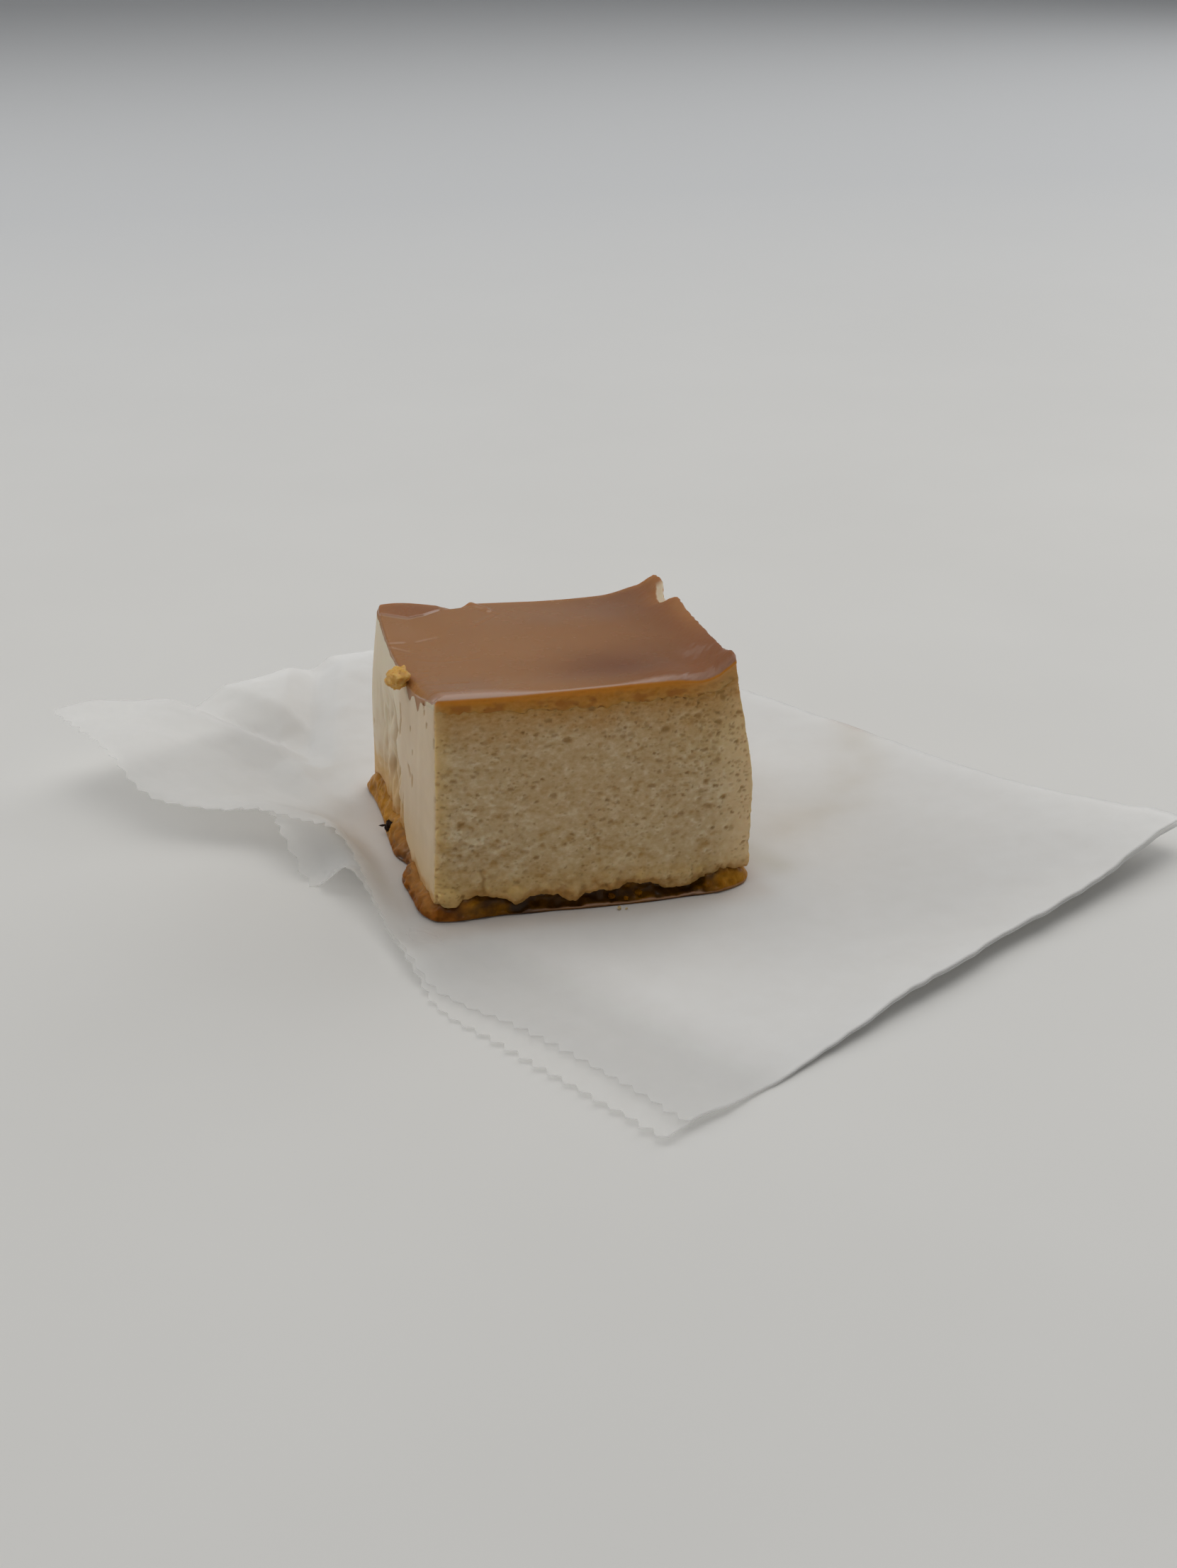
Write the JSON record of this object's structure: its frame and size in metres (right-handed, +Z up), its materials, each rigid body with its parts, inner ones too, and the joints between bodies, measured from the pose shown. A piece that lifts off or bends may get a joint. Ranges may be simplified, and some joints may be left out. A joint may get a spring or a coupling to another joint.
{
  "type": "caramel pudding on greaseproof paper",
  "caption": "Cut block of baked caramel pudding with an amber top and a dark syrup base, lying on saw-toothed greaseproof deli paper.",
  "frame": {"origin": "on the table, the plane that the paper lies on, under the middle of the pudding's foot", "axes": "+X to the right along the pudding's front cut face, +Y from that face towards the back, +Z up"},
  "size_m": [0.2151, 0.2325, 0.0456],
  "materials": {
    "paper": "translucent greaseproof paper, matte",
    "syrup": "dark burnt caramel, wet and glossy",
    "custard": "baked custard, moist, finely pitted",
    "caramel": "caramel skin, satin"
  },
  "bodies": {
    "root": {"paper_lower_ply": "paper", "paper_upper_ply": "paper", "caramel_base": "syrup", "custard": "custard", "caramel_top": "caramel"}
  },
  "joints": []
}
